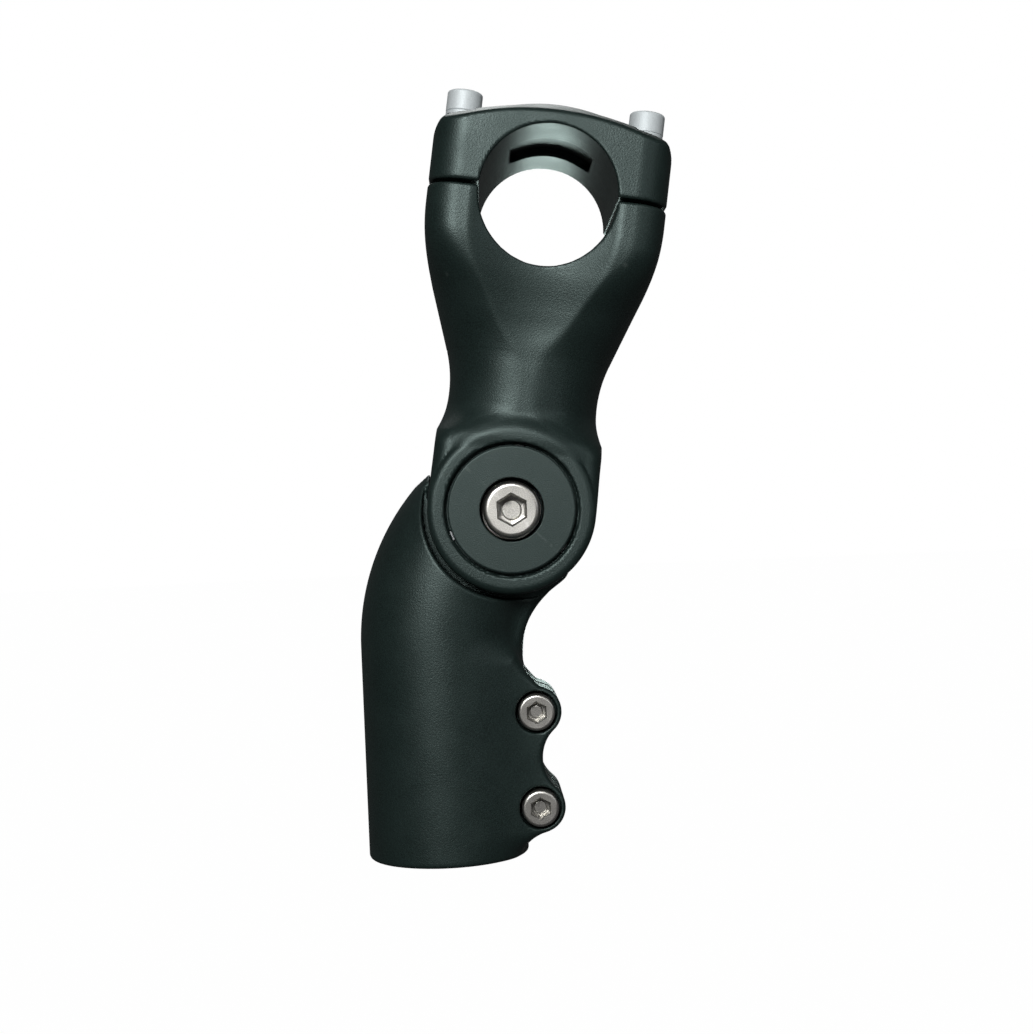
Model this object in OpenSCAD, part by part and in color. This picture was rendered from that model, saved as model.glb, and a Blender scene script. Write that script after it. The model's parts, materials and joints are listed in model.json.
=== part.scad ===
/* [Steerer clamp] */
// Diameter of the steerer tube that the stem clamps
steerer_dia = 28.6; // [28.6:0.1:28.8]
// Outside diameter of the steerer clamp tube
tube_dia = 38; // [37:0.5:40]
// Height of the straight tube, where the bend towards the pivot starts
tube_top = 50; // [48:0.5:52]
// Height of the steerer socket, from the bottom face to its end stop
socket_depth = 50; // [46:1:52]
// Distance of the pinch bolts in front of the steerer axis
pinch_reach = 21.8; // [21.5:0.1:22.5]
// Height of the lower pinch bolt
pinch_low = 11.7; // [11:0.1:13]
// Height of the upper pinch bolt
pinch_high = 33.9; // [33:0.1:35]
// Width across the two pinch lugs
lug_width = 24; // [23:0.5:27]

/* [Pivot] */
// Distance of the tilt pivot in front of the steerer axis
pivot_x = 18; // [17.8:0.1:18.2]
// Height of the tilt pivot
pivot_z = 81; // [80.8:0.1:81.2]
// Radius of the round ears of the arm
ear_r = 19.4; // [19.2:0.1:19.5]
// Radius of the window in each ear
window_r = 15.8; // [15.6:0.1:16.2]
// Width of the tongue between the ears
tongue_width = 16; // [15.9:0.1:16.1]
// Number of lock teeth around each toothed ring
tooth_count = 40; // [30:10:40]

/* [Arm and handlebar clamp] */
// Distance from the tilt pivot to the handlebar axis
arm_length = 72; // [71:0.5:76]
// Angle of the arm above the forward horizontal as drawn
arm_angle = 81; // [79:0.5:81]
// Diameter of the handlebar
bar_dia = 31.8; // [31.7:0.1:31.9]
// Width of the handlebar clamp along the bar
clamp_width = 46; // [42:1:48]
// Distance between the two cap bolts
cap_bolt_pitch = 44.1; // [44:0.1:44.6]
// Gap between the arm and the cap
cap_gap = 0.8; // [0.6:0.1:1.2]

/* [Hidden] */
$fn = 96;

// Small length that carries a cut past a face
over = 1;
// Play between a fixed insert and its seat
seat_play = 0.02;
// Play between a turning shank and the hole it turns in
run_play = 0.05;

// Socket bolts: shank, head and hexagon sizes of the M5 and M8 sizes
m5 = 5;
m5_head_r = 4.25;
m5_hex = 4;
m5_hole_r = m5 / 2 + run_play;
m5_clear_r = 2.75;
m5_counterbore_r = 4.9;
m5_washer_r = 4.2;
m5_washer_t = 1;
m8 = 8;
m8_head_r = 6.5;
m8_hex = 6;
m8_hole_r = m8 / 2 + run_play;

// Steerer clamp
tube_r = tube_dia / 2;
bore_r = steerer_dia / 2;
bend_r = 36.8;
bend_angle = acos((bend_r - pivot_x) / norm([bend_r - pivot_x, pivot_z - tube_top]));
edge = 1;
boss_r = 5.9;
slit = 2;
slit_top = 43;
tool_hole_r = 4;
pinch_seat_y = -lug_width / 2 + 4.8;
pinch_bolt_length = 19.5;

// Pivot, measured along Y out from the middle of the tongue
tongue_y = tongue_width / 2;
tongue_r = ear_r - 0.2;
washer_t = 0.5;
ear_in_y = tongue_y + washer_t + run_play;
ear_out_y = 19;
recess_r = ear_r + 1.4;
throat_r = ear_r + 2.2;
window_depth = 2;
disc_bore_r = window_r - 0.75;
disc_flange_r = disc_bore_r - run_play;
disc_face_r = window_r - 1.1;
disc_face_y = ear_out_y - 0.4;
disc_flange_in_y = 12;
key_r = 1.25;
key_count = 3;

// Lock teeth
tooth_h = 0.7;
tooth_w = 1.3;
tooth_in_r = 10.4;
ring_r = 14.2;
ring_base_y = tongue_y - tooth_h;
ring_seat_y = tongue_y - 2.6;
tooth_out_r = ring_r - key_r - 0.2;
disc_wall_r = ring_r - 0.6;
// Tooth tips stand this far apart while the lock is slack
tip_gap = 0.15;
// Each disc moves in by this much as the lock is tightened
lock_travel = 0.8;
// Room left between the end of a disc key and the disc's face
key_gap = 0.2;
key_end_y = ear_out_y - window_depth - lock_travel - key_gap;
disc_base_y = tongue_y + tip_gap + tooth_h;

// Hubs, bush and spring
hub_r = 9;
hub_bore_r = 7;
hub_end_y = 2;
hub_floor_y = 7;
bush_bore_r = hub_r + run_play;
bush_r = 10.2;
bush_y = ring_base_y;
pivot_washer_t = 1;
pivot_head_y = 18.4;
pivot_seat_y = pivot_head_y - m8 - pivot_washer_t;
pivot_counterbore_r = 7.35;
pivot_bolt_end_y = 16.5;
spring_wire_r = 0.6;
spring_turns = 5;

// Arm and cap, measured from the pivot along the arm and from its middle line
clamp_half = 27.65;
neck_cut_r = 30;
neck_cut_a = 26.5;
neck_cut_b = 47.8;
slope_a = 36.4;
slope_b = 19.49;
shoulder_a = 59.7;
neck_y = 17.6;
flare_a = 38;
column_r = 8;
panel_depth = 0.7;
bar_r = bar_dia / 2;
arm_top = arm_length - cap_gap / 2 + 0.5;
cap_bottom = arm_top + cap_gap;
cap_seat = arm_length + 20.5;
cap_bolt_b = cap_bolt_pitch / 2;
cap_thread_depth = 17;
cap_corner_r = 7;
cap_crown_top = arm_length + 25.4;
cap_crown_r = 60;
cap_crown_across_r = 45;
cap_bolt_length = 35;
pocket_half_angle = 37;
pocket_half_width = 8.5;
pocket_depth = 1;

// ---- shared shapes ----

// Turns a part drawn along +Z so that it lies along +Y
module along_y() {
    rotate([-90, 0, 0]) children();
}

// Places a part drawn about the pivot
module at_pivot() {
    translate([pivot_x, 0, pivot_z]) children();
}

// Places a part drawn with the arm along +X and its axis of tilt at the origin
module in_arm() {
    at_pivot() rotate([0, -arm_angle, 0]) children();
}

// The near side is -Y and the far side +Y: a part drawn for +Y is mirrored for the near side
module on_side(side) {
    if (side < 0) {
        mirror([0, 1, 0]) children();
    } else {
        children();
    }
}

// A disc or ring lying along Y between two distances
module y_ring(outer_r, inner_r, from_y, to_y) {
    translate([0, from_y, 0]) along_y() difference() {
        cylinder(r = outer_r, h = to_y - from_y);
        if (inner_r > 0) {
            translate([0, 0, -over]) cylinder(r = inner_r, h = to_y - from_y + 2 * over);
        }
    }
}

// A socket bolt with its seat at Z = 0, its head upwards and its shank downwards
module socket_bolt(size, head_r, hex, shank) {
    round_edge = 0.09 * size;
    socket = 0.55 * size;
    chamfer = 0.1 * size;
    difference() {
        rotate_extrude() polygon([
            [0, -shank], [size / 2 - chamfer, -shank], [size / 2, -shank + chamfer],
            [size / 2, 0], [head_r, 0], [head_r, size - round_edge],
            [head_r - 0.3 * round_edge, size - 0.3 * round_edge],
            [head_r - round_edge, size], [0, size]
        ]);
        translate([0, 0, size - socket])
            cylinder(d = hex / cos(30), h = socket + over, $fn = 6);
        translate([0, 0, size - 0.4])
            cylinder(r1 = hex / 2, r2 = hex / 2 + 1, h = 1);
    }
    // Round dome left in the bottom of the socket
    translate([0, 0, size - socket - 0.2])
        cylinder(r1 = 0.38 * hex, r2 = 0.3 * hex, h = 0.9);
}

module flat_ring(outer_r, inner_r, thick) {
    difference() {
        cylinder(r = outer_r, h = thick);
        translate([0, 0, -over]) cylinder(r = inner_r, h = thick + 2 * over);
    }
}

// Split spring washer
module lock_washer(inner_r) {
    difference() {
        flat_ring(m5_washer_r, inner_r, m5_washer_t);
        translate([0, -0.3, -over]) cube([m5_washer_r + over, 0.6, m5_washer_t + 2 * over]);
    }
}

// Radial ridges of triangular section standing on a face, ringed round Z
module teeth(first_angle) {
    for (i = [0 : tooth_count - 1]) {
        rotate([0, 0, first_angle + i * 360 / tooth_count])
            translate([tooth_in_r, 0, 0])
            rotate([90, 0, 90])
            linear_extrude(tooth_out_r - tooth_in_r)
            polygon([
                [-tooth_w / 2, -0.2], [tooth_w / 2, -0.2], [tooth_w / 2, 0],
                [0, tooth_h], [-tooth_w / 2, 0]
            ]);
    }
}

// ---- lower body ----

module pinch_points() {
    for (z = [pinch_low, pinch_high]) {
        translate([pinch_reach, 0, z]) children();
    }
}

module tube_and_bend() {
    translate([0, 0, edge]) cylinder(r = tube_r, h = tube_top - edge);
    cylinder(r1 = tube_r - edge, r2 = tube_r, h = edge);
    translate([bend_r, 0, tube_top])
        rotate([90, 0, 0])
        rotate([0, 0, 180 - bend_angle])
        rotate_extrude(angle = bend_angle)
        translate([bend_r, 0]) circle(r = tube_r);
}

// Outline of the two lugs seen along Y
module lug_outline() {
    notch_r = 6.2;
    notch_x = pinch_reach + 6.2;
    notch_z = (pinch_low + pinch_high) / 2 + 1.2;
    top_notch_r = 9.6;
    difference() {
        union() {
            polygon([
                [12, 4.5], [tube_r - 0.3, 4.5], [pinch_reach + 3.4, pinch_low - 4.9],
                [pinch_reach + boss_r, pinch_low], [pinch_reach + boss_r, pinch_high],
                [pinch_reach + 5.4, pinch_high + 4.4], [tube_r - 0.4, pinch_high + 10],
                [12, tube_top - 3]
            ]);
            for (z = [pinch_low, pinch_high]) {
                translate([pinch_reach, z]) circle(r = boss_r);
            }
        }
        translate([notch_x, notch_z]) circle(r = notch_r);
        translate([pinch_reach + 6.8, pinch_high + 14.4]) circle(r = top_notch_r);
    }
}

// Outline of the web that carries the tongue off the front of the tube
module neck_outline() {
    neck_top = pivot_z - ear_r - 0.4;
    difference() {
        translate([8, tube_top - 6]) square([20, neck_top - tube_top + 6]);
        translate([34, tube_top - 2.8]) circle(r = 15.6);
    }
    translate([pivot_x, pivot_z]) polygon([
        [0, -ear_r - 0.4], [9.1, -ear_r - 0.4], [13.7, -14.8], [16.2, -11], [0, -11]
    ]);
}

module lower_outside() {
    tube_and_bend();
    rotate([90, 0, 0]) linear_extrude(lug_width, center = true) lug_outline();
    rotate([90, 0, 0]) linear_extrude(tongue_width, center = true) neck_outline();
    at_pivot() y_ring(tongue_r, 0, -tongue_y, tongue_y);
}

// Space that the ears and the arm's throat sweep as the arm tilts forward
module tilt_space() {
    stop_gap = 0.4;
    for (side = [-1, 1]) {
        on_side(side) at_pivot() y_ring(recess_r, 0, tongue_y, ear_out_y + over);
    }
    difference() {
        in_arm() translate([0, -ear_out_y - over, -ear_r - stop_gap])
            cube([ear_r + 6, 2 * (ear_out_y + over), 2 * (ear_r + stop_gap)]);
        at_pivot() y_ring(tongue_r + run_play, 0, -ear_out_y - 2 * over, ear_out_y + 2 * over);
    }
}

module bottom_socket() {
    translate([0, 0, -over]) cylinder(r = bore_r, h = socket_depth + over);
    translate([0, 0, socket_depth - over]) cylinder(r = tool_hole_r, h = pivot_z);
    translate([0, -slit / 2, -over]) cube([pinch_reach + 2 * boss_r, slit, slit_top + over]);
    translate([bore_r - 1, 0, slit_top]) rotate([0, 90, 0]) cylinder(d = slit * 1.5, h = boss_r * 2);
}

module pinch_holes() {
    pinch_points() {
        translate([0, -lug_width, 0]) along_y() cylinder(r = m5_clear_r, h = lug_width);
        along_y() cylinder(r = m5_hole_r, h = lug_width);
        translate([0, -lug_width, 0]) along_y() cylinder(r = m5_counterbore_r, h = lug_width + pinch_seat_y);
    }
}

module pivot_seats() {
    at_pivot() {
        y_ring(bush_r + seat_play, 0, -tongue_y - over, tongue_y + over);
        for (side = [-1, 1]) {
            on_side(side) y_ring(ring_r + seat_play, 0, ring_seat_y, tongue_y + over);
            on_side(side) ring_dowel_set(key_r + seat_play, ring_seat_y, tongue_y + over);
        }
    }
}

module steerer_clamp() {
    color([0.12, 0.15, 0.14]) difference() {
        lower_outside();
        tilt_space();
        bottom_socket();
        pinch_holes();
        pivot_seats();
    }
}

// ---- pivot parts ----

// Dowels half in the toothed ring's rim and half in the tongue
module ring_dowel_set(r, from_y, to_y) {
    for (i = [0 : key_count - 1]) {
        rotate([0, 60 + i * 360 / key_count, 0])
            translate([ring_r, 0, 0]) y_ring(r, 0, from_y, to_y);
    }
}

// Dowels half in the lock disc's flange and half in the ear, turned with the arm
module disc_key_set(r, from_y, to_y) {
    for (i = [0 : key_count - 1]) {
        rotate([0, i * 360 / key_count, 0])
            translate([disc_bore_r, 0, 0]) y_ring(r, 0, from_y, to_y);
    }
}

module tooth_ring(side) {
    color([0.45, 0.46, 0.47]) at_pivot() on_side(side) {
        difference() {
            y_ring(ring_r, bush_r + seat_play, ring_seat_y, ring_base_y);
            ring_dowel_set(key_r + seat_play, ring_seat_y - over, ring_base_y + over);
        }
        translate([0, ring_base_y, 0]) along_y() teeth(0);
    }
}

module ring_dowels(side) {
    color([0.6, 0.6, 0.6]) at_pivot() on_side(side)
        ring_dowel_set(key_r, ring_seat_y + seat_play, ring_base_y - 0.1);
}

module disc_keys(side) {
    color([0.6, 0.6, 0.6]) in_arm() on_side(side)
        disc_key_set(key_r, ear_in_y + 1, key_end_y);
}

module pivot_bush() {
    color([0.72, 0.55, 0.3]) at_pivot() y_ring(bush_r, bush_bore_r, -bush_y, bush_y);
}

module thrust_washer(side) {
    color([0.85, 0.84, 0.8]) at_pivot() on_side(side)
        y_ring(tongue_r - 0.6, ring_r + 0.8, tongue_y, tongue_y + washer_t);
}

// Lock disc: visible face, sliding flange, tooth ring and hub, with its bore left to the caller
module lock_disc_solid() {
    face_chamfer = 0.6;
    translate([0, ear_out_y - window_depth, 0]) along_y()
        cylinder(r = disc_face_r, h = disc_face_y - ear_out_y + window_depth - face_chamfer);
    translate([0, disc_face_y - face_chamfer, 0]) along_y()
        cylinder(r1 = disc_face_r, r2 = disc_face_r - face_chamfer, h = face_chamfer);
    difference() {
        y_ring(disc_flange_r, 0, disc_flange_in_y, ear_out_y - window_depth);
        disc_key_set(key_r + run_play, disc_flange_in_y - over, ear_out_y);
    }
    y_ring(disc_wall_r, tooth_in_r - 0.2, disc_base_y, disc_flange_in_y);
    translate([0, disc_base_y, 0]) rotate([90, 0, 0])
        teeth(180 / tooth_count - arm_angle);
    y_ring(hub_r, 0, hub_end_y, disc_flange_in_y);
}

module lock_disc_near() {
    color([0.2, 0.23, 0.22]) in_arm() on_side(-1) difference() {
        lock_disc_solid();
        y_ring(hub_bore_r, 0, hub_end_y - over, hub_floor_y);
        y_ring(m8_hole_r + 0.2, 0, 0, ear_out_y);
        y_ring(pivot_counterbore_r, 0, pivot_seat_y, ear_out_y);
    }
}

module lock_disc_far() {
    color([0.2, 0.23, 0.22]) in_arm() difference() {
        lock_disc_solid();
        y_ring(hub_bore_r, 0, hub_end_y - over, hub_floor_y);
        y_ring(m8_hole_r, 0, 0, ear_out_y);
        translate([0, disc_face_y - 0.8, 0]) along_y() cylinder(r1 = m8_hole_r, r2 = m8_hole_r + 1, h = 1);
    }
}

module pivot_bolt() {
    seat_y = pivot_seat_y + pivot_washer_t;
    color([0.75, 0.75, 0.74]) at_pivot() translate([0, -seat_y, 0]) rotate([90, 0, 0])
        socket_bolt(m8, m8_head_r, m8_hex, seat_y + pivot_bolt_end_y);
}

module pivot_washer() {
    color([0.6, 0.6, 0.6]) at_pivot()
        y_ring(pivot_counterbore_r - 0.35, m8_hole_r + 0.2, -pivot_seat_y - pivot_washer_t, -pivot_seat_y);
}

// Coil of round wire about Y, drawn as a strip of rings swept along the helix
module release_spring() {
    sides = 10;
    steps = 24 * spring_turns;
    coil_r = hub_bore_r - 0.4 - spring_wire_r;
    half = hub_floor_y - seat_play - spring_wire_r;
    points = [
        for (i = [0 : steps], k = [0 : sides - 1])
            let (
                turn = i * 360 / 24,
                around = k * 360 / sides,
                r = coil_r + spring_wire_r * cos(around)
            )
            [r * cos(turn), -half + 2 * half * i / steps + spring_wire_r * sin(around), r * sin(turn)]
    ];
    walls = [
        for (i = [0 : steps - 1], k = [0 : sides - 1])
            [i * sides + k, i * sides + (k + 1) % sides, (i + 1) * sides + (k + 1) % sides, (i + 1) * sides + k]
    ];
    first = [for (k = [sides - 1 : -1 : 0]) k];
    last = [for (k = [0 : sides - 1]) steps * sides + k];
    color([0.7, 0.7, 0.7]) at_pivot() polyhedron(points, concat(walls, [first, last]));
}

// ---- arm ----

// Outline of the arm seen along Y, with the arm along +X
module arm_outline() {
    difference() {
        union() {
            circle(r = ear_r);
            polygon([
                [0, -ear_r], [15.2, -ear_r], [slope_a, -slope_b],
                [shoulder_a - 2, -clamp_half + 0.75], [shoulder_a + 1.6, -clamp_half],
                [arm_top, -clamp_half], [arm_top, clamp_half],
                [shoulder_a + 1.6, clamp_half], [shoulder_a - 2, clamp_half - 0.75],
                [slope_a, slope_b], [15.2, ear_r], [0, ear_r]
            ]);
        }
        for (s = [-1, 1]) {
            translate([neck_cut_a, s * neck_cut_b]) circle(r = neck_cut_r);
        }
        translate([arm_length, 0]) circle(r = bar_r);
    }
}

// Outline of the arm seen from above, with the arm along +X and the width along +Y
module arm_plan(inset) {
    y = neck_y - inset;
    w = clamp_width / 2 - inset;
    polygon([
        [-ear_r - over, -y], [flare_a, -y], [shoulder_a, -w], [arm_top + over, -w],
        [arm_top + over, w], [shoulder_a, w], [flare_a, y], [-ear_r - over, y]
    ]);
}

// Section across the clamp, with its four corners rounded round the bolt columns
module clamp_section() {
    w = clamp_width / 2;
    for (s = [-1, 1], t = [-1, 1]) {
        translate([s * (clamp_half - column_r), t * (w - column_r)]) circle(r = column_r);
    }
    square([2 * clamp_half, 2 * (w - column_r)], center = true);
    square([2 * (clamp_half - column_r), 2 * w], center = true);
}

// The same section as a bar along the arm
module clamp_bar(from_a, to_a) {
    translate([from_a, 0, 0]) rotate([0, 90, 0]) linear_extrude(to_a - from_a) clamp_section();
}

// Three-cornered panel between the bolt columns, narrowing towards the neck
module arm_panel() {
    difference() {
        rotate([90, 0, 0]) linear_extrude(clamp_width + 2, center = true)
            polygon([
                [flare_a - 3, 0], [shoulder_a - 7, 13.5], [arm_top + over, 17.5],
                [arm_top + over, -17.5], [shoulder_a - 7, -13.5]
            ]);
        linear_extrude(4 * clamp_half, center = true) arm_plan(panel_depth);
    }
}

module arm_body() {
    difference() {
        intersection() {
            rotate([90, 0, 0]) linear_extrude(clamp_width, center = true) arm_outline();
            linear_extrude(4 * clamp_half, center = true) arm_plan(0);
            clamp_bar(-ear_r - over, arm_top + over);
        }
        arm_panel();
    }
    // Round pads that stand out round the pivot
    for (side = [-1, 1]) {
        on_side(side) translate([0, neck_y - 0.5, 0]) along_y() {
            cylinder(r = ear_r, h = 0.5);
            translate([0, 0, 0.5]) cylinder(r1 = ear_r, r2 = ear_r - 1, h = ear_out_y - neck_y);
        }
    }
}

module extension_arm() {
    color([0.12, 0.15, 0.14]) in_arm() difference() {
        arm_body();
        translate([-ear_r - over, -ear_in_y, -ear_r - over])
            cube([ear_r + over, 2 * ear_in_y, 2 * (ear_r + over)]);
        y_ring(throat_r, 0, -ear_in_y, ear_in_y);
        for (side = [-1, 1]) {
            on_side(side) {
                y_ring(disc_bore_r, 0, 0, ear_out_y + over);
                y_ring(window_r, 0, ear_out_y - window_depth, ear_out_y + over);
                disc_key_set(key_r + seat_play / 2, ear_in_y + 1, key_end_y + run_play);
            }
        }
        cap_bolt_places() translate([0, 0, arm_top - cap_thread_depth])
            cylinder(r = m5_hole_r, h = cap_thread_depth + over);
    }
}

// Places a part drawn up +Z on both cap bolt axes, in the arm's own frame
module cap_bolt_places() {
    for (s = [-1, 1]) {
        translate([0, 0, s * cap_bolt_b]) rotate([0, 90, 0]) children();
    }
}

// ---- cap ----

// Outline of the cap seen along Y, with the arm along +X
module cap_outline() {
    difference() {
        union() {
            translate([cap_bottom, -clamp_half])
                square([cap_seat - cap_corner_r - cap_bottom, 2 * clamp_half]);
            for (s = [-1, 1]) {
                translate([cap_seat - cap_corner_r, s * (clamp_half - cap_corner_r)])
                    circle(r = cap_corner_r);
            }
            translate([cap_bottom, -clamp_half + cap_corner_r])
                square([cap_crown_top - cap_bottom, 2 * (clamp_half - cap_corner_r)]);
        }
        translate([arm_length, 0]) circle(r = bar_r);
    }
}

// Barrel that crowns the top of the cap both ways
module cap_crown() {
    rim = cap_crown_r - cap_crown_across_r;
    translate([cap_crown_top - cap_crown_r, 0, 0])
        rotate([90, 0, 0])
        rotate_extrude($fn = 240)
        intersection() {
            translate([rim, 0]) circle(r = cap_crown_across_r, $fn = 240);
            translate([0, -clamp_width / 2]) square([cap_crown_r + over, clamp_width]);
        }
}

// Shallow relief in the bore of the cap
module cap_pocket() {
    translate([arm_length, 0, 0])
        rotate([90, 0, 0])
        rotate([0, 0, -pocket_half_angle])
        rotate_extrude(angle = 2 * pocket_half_angle)
        translate([bar_r - 2, -pocket_half_width])
        square([2 + pocket_depth, 2 * pocket_half_width]);
}

module bar_clamp_cap() {
    color([0.12, 0.15, 0.14]) in_arm() difference() {
        intersection() {
            rotate([90, 0, 0]) linear_extrude(clamp_width, center = true) cap_outline();
            clamp_bar(cap_bottom - over, cap_crown_top + over);
            cap_crown();
        }
        cap_pocket();
        cap_bolt_places() cylinder(r = m5_clear_r, h = cap_crown_top + over);
        cap_bolt_places() translate([0, 0, cap_seat]) cylinder(r = m5_counterbore_r, h = cap_crown_r);
    }
}

// ---- fasteners ----

module cap_bolt(s) {
    color([0.72, 0.75, 0.76]) in_arm() translate([cap_seat + m5_washer_t, 0, s * cap_bolt_b])
        rotate([0, 90, 0]) socket_bolt(m5, m5_head_r, m5_hex, cap_bolt_length);
}

module cap_washer(s) {
    color([0.6, 0.62, 0.62]) in_arm() translate([cap_seat, 0, s * cap_bolt_b])
        rotate([0, 90, 0]) lock_washer(m5_hole_r + 0.1);
}

module pinch_bolt(z) {
    color([0.75, 0.75, 0.74]) translate([pinch_reach, pinch_seat_y - m5_washer_t, z])
        rotate([90, 0, 0]) socket_bolt(m5, m5_head_r, m5_hex, pinch_bolt_length);
}

module pinch_washer(z) {
    color([0.6, 0.62, 0.62]) translate([pinch_reach, pinch_seat_y - m5_washer_t, z])
        along_y() lock_washer(m5_hole_r + 0.1);
}

steerer_clamp();
extension_arm();
bar_clamp_cap();
cap_bolt(1);  // cap_bolt_rear
cap_bolt(-1);  // cap_bolt_front
cap_washer(1);  // cap_washer_rear
cap_washer(-1);  // cap_washer_front
pinch_bolt(pinch_high);  // pinch_bolt_upper
pinch_bolt(pinch_low);  // pinch_bolt_lower
pinch_washer(pinch_high);  // pinch_washer_upper
pinch_washer(pinch_low);  // pinch_washer_lower
pivot_bolt();
pivot_washer();
lock_disc_near();
lock_disc_far();
disc_keys(-1);  // disc_keys_near
disc_keys(1);  // disc_keys_far
tooth_ring(-1);  // tooth_ring_near
tooth_ring(1);  // tooth_ring_far
ring_dowels(-1);  // ring_dowels_near
ring_dowels(1);  // ring_dowels_far
pivot_bush();
thrust_washer(-1);  // thrust_washer_near
thrust_washer(1);  // thrust_washer_far
release_spring();
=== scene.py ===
"""Looks of an adjustable handlebar stem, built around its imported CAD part.

The forged bodies are distance fields turned into meshes, so their blends and rounded edges are
real shape. Fasteners and discs are lofted from rings. Lengths are millimetres until a mesh is made.
"""

import json
import math

import bpy
import numpy as np
from mathutils import Matrix, Vector


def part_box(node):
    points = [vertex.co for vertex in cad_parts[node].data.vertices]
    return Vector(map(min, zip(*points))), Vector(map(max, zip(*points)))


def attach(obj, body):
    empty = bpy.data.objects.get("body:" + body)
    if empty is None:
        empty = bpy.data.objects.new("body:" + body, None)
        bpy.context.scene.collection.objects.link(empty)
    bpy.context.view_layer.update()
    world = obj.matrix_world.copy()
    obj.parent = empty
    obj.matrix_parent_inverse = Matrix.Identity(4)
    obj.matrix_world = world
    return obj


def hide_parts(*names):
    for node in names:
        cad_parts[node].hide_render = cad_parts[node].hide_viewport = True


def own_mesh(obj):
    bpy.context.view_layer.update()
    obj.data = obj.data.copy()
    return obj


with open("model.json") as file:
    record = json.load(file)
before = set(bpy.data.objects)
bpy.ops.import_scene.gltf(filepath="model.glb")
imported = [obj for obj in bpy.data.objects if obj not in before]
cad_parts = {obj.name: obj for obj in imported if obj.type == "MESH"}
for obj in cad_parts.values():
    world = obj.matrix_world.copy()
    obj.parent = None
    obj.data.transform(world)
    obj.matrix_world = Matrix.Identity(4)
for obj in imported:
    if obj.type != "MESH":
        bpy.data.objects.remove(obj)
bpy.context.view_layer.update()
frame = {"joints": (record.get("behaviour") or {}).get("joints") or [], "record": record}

MM = 0.001
RECORD = frame["record"]
JOINTS = {joint["name"]: joint for joint in frame["joints"]}
MOUNTS = {mount["name"]: mount for mount in RECORD["mounts"]}


def node_box(node):
    """Lowest and highest corner of a CAD node at rest, in millimetres."""
    low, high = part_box(node)
    return low / MM, high / MM


def mount_radius(name):
    return MOUNTS[name]["dims"]["r_mm"]


# ---- sizes, from the frame where it has them ----

PIVOT = Vector(JOINTS["arm_tilt"]["pos_m"]) / MM
ARM_DIRECTION = Vector(JOINTS["cap_lift"]["axis"])
LEAN = math.atan2(ARM_DIRECTION.x, ARM_DIRECTION.z)
BAR_A = (Vector(MOUNTS["bar_clamp"]["pos_m"]) / MM - PIVOT).length
BAR_R = mount_radius("bar_clamp")
CLAMP_Y = MOUNTS["bar_clamp"]["dims"]["length_mm"] / 2
BORE_R = mount_radius("steerer_socket")
SOCKET_TOP = MOUNTS["steerer_socket"]["dims"]["length_mm"]

# Lower body
TUBE_R = -node_box("steerer_clamp")[0].x
BEND_Z = 50.0
BEND_R = 36.8
LUG_Y = -node_box("pinch_bolt_upper")[0].y - 1.2
BOSS_R = 5.9
NOTCH_BOTTOM = 1.0
SLIT_HALF = 1.0
SLIT_TOP = 43.0
TOOL_HOLE_R = 4.0
LUG_EDGE_R = 1.2
LUG_BLENDS = 2, 8
WEB_ROOT_X = 8.0
WEB_BOTTOM_Z = BEND_Z - 6
WEB_EDGE_R = 1.5
WEB_BLEND = 3.0
WEB_CURVE_X = 40.4
WEB_CURVE_Z = 44.6
WEB_CURVE_R = 22.0

# Pivot, outwards along Y
TONGUE_Y = 8.0
TONGUE_R = 19.2
TONGUE_LIP = 2.2
TONGUE_EDGE_R = 0.5
RECESS_R = 20.8
STOP_GAP = 0.4
RING_SEAT_Y = 5.4
RING_R = 14.22
BUSH_R = 10.22
DOWEL_R = 1.27
EAR_R = 19.4
EAR_IN_Y = 8.55
EAR_OUT_Y = 19.0
EAR_EDGE_R = 1.8
THROAT_R = 21.6
WINDOW_R = 15.5
WINDOW_DEPTH = 2.0
DISC_BORE_R = 15.05
KEY_COUNT = 3
KEY_END_Y = 16.05

# Arm and cap, measured up the arm (a) and across it (b)
NECK_Y = 17.6
NECK_CUT_R = 30.0
NECK_CUT_A = 26.5
NECK_CUT_B = 47.8
SLOPE = 0.35
SLOPE_A = 36.4
SLOPE_B = 19.49
NECK_START_A = 15.2
EAR_FADE = 1, 14
EAR_FILLET_R = 3.2
EAR_FILLET_START = 10, 17
NECK_ROUNDING = 13.2
NECK_RISE = 13, 24
CLAMP_FLARE = 34, 63
PANEL_R = 40.0
PANEL_LIFT = 0.9
PANEL_START = 30, 44
PANEL_EDGE_BLEND = 0.4
CREASE_START_A = 28.5
CREASE_SLOPE = 0.57
CREASE_END_B = 17.0
EDGE_R = 0.8
CLAMP_HALF = 27.65
ARM_TOP = BAR_A + 0.1
CAP_BOTTOM = ARM_TOP + 0.8
CAP_BOLT_B = 22.05
CAP_SEAT = BAR_A + 20.5
CAP_CORNER_R = 8.0
CAP_SHOULDER_R = 7.0
CAP_SHOULDER_A = BAR_A + 17.5
CAP_FACE_A = BAR_A + 19.6
CAP_FACE_R = 64.0
CAP_CROWN_A = BAR_A + 24.6
CAP_CROWN_R = 32.0
CAP_CROWN_HALF = 9.6
CAP_CROWN_SLOPE = 0.19
POCKET_Y = 8.5
POCKET_HALF_ANGLE = 37
POCKET_DEPTH = 1.8
POCKET_CORNER_R = 3.0
CAP_THREAD_DEPTH = 17.0
M5_CLEAR_R = 2.75
M5_THREAD_R = 2.55
M5_COUNTERBORE_R = 4.9

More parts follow.
